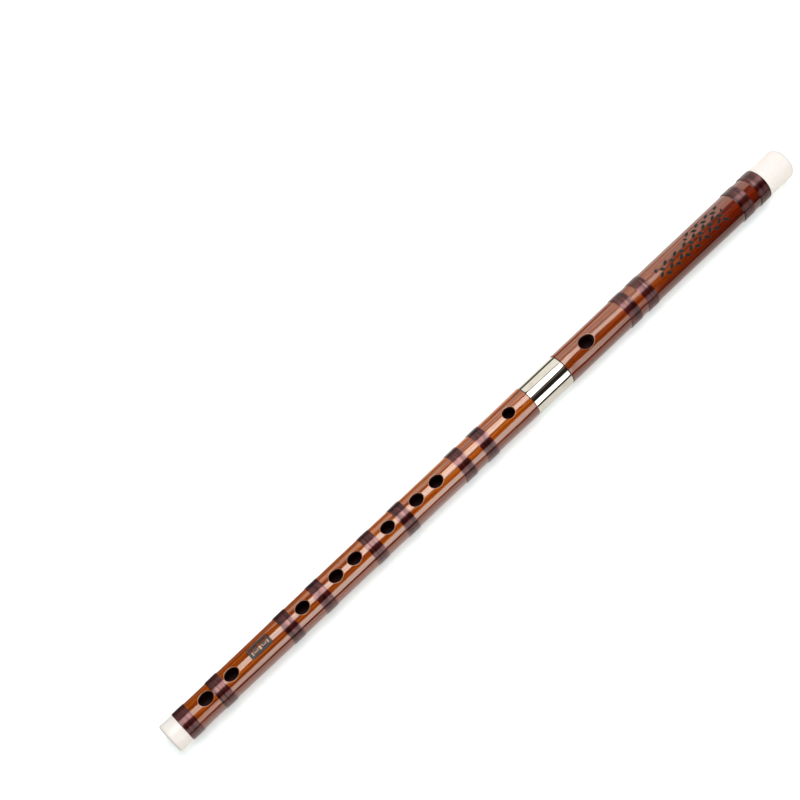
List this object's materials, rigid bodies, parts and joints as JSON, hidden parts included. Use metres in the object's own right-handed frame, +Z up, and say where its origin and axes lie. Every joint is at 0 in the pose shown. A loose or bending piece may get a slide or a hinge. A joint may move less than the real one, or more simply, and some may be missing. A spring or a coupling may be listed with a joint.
{
  "type": "transverse bamboo flute",
  "caption": "Jointed transverse bamboo flute with thread bindings, pale end caps, tone holes and a bare metal tuning joint that lets the head section slide and turn.",
  "frame": {"origin": "on the rest surface, under the middle of the flute's length", "axes": "+X along the bore towards the head end, +Z up through the finger holes and the blow hole"},
  "size_m": [0.5504, 0.0236, 0.0235],
  "materials": {
    "foot_bamboo": "clear gloss lacquer over amber-brown stained bamboo",
    "head_bamboo": "clear gloss lacquer over red-brown stained bamboo",
    "white_metal": "polished nickel silver (white brass)",
    "cap_plastic": "warm white moulded plastic in place of bone",
    "cork": "raw cork",
    "thread": "dark plum nylon thread under lacquer"
  },
  "bodies": {
    "foot": {"foot_section": "foot_bamboo", "joint_slide": "white_metal", "foot_cap": "cap_plastic", "binding_01": "thread", "binding_02": "thread", "binding_03": "thread", "binding_04": "thread", "binding_05": "thread", "binding_06": "thread", "binding_07": "thread", "binding_08": "thread"},
    "socket": {"joint_socket": "white_metal"},
    "head": {"head_section": "head_bamboo", "head_cap": "cap_plastic", "head_stopper": "cork", "binding_09": "thread", "binding_10": "thread", "binding_11": "thread", "binding_12": "thread"}
  },
  "joints": [
    {"name": "tuning_slide", "type": "slide", "parent": "foot", "child": "socket", "axis": [1, 0, 0], "range_m": [0, 0.015]},
    {"name": "head_turn", "type": "hinge", "parent": "socket", "child": "head", "pos_m": [0.0646, 0, 0.01177], "axis": [1, 0, 0], "continuous": true}
  ]
}
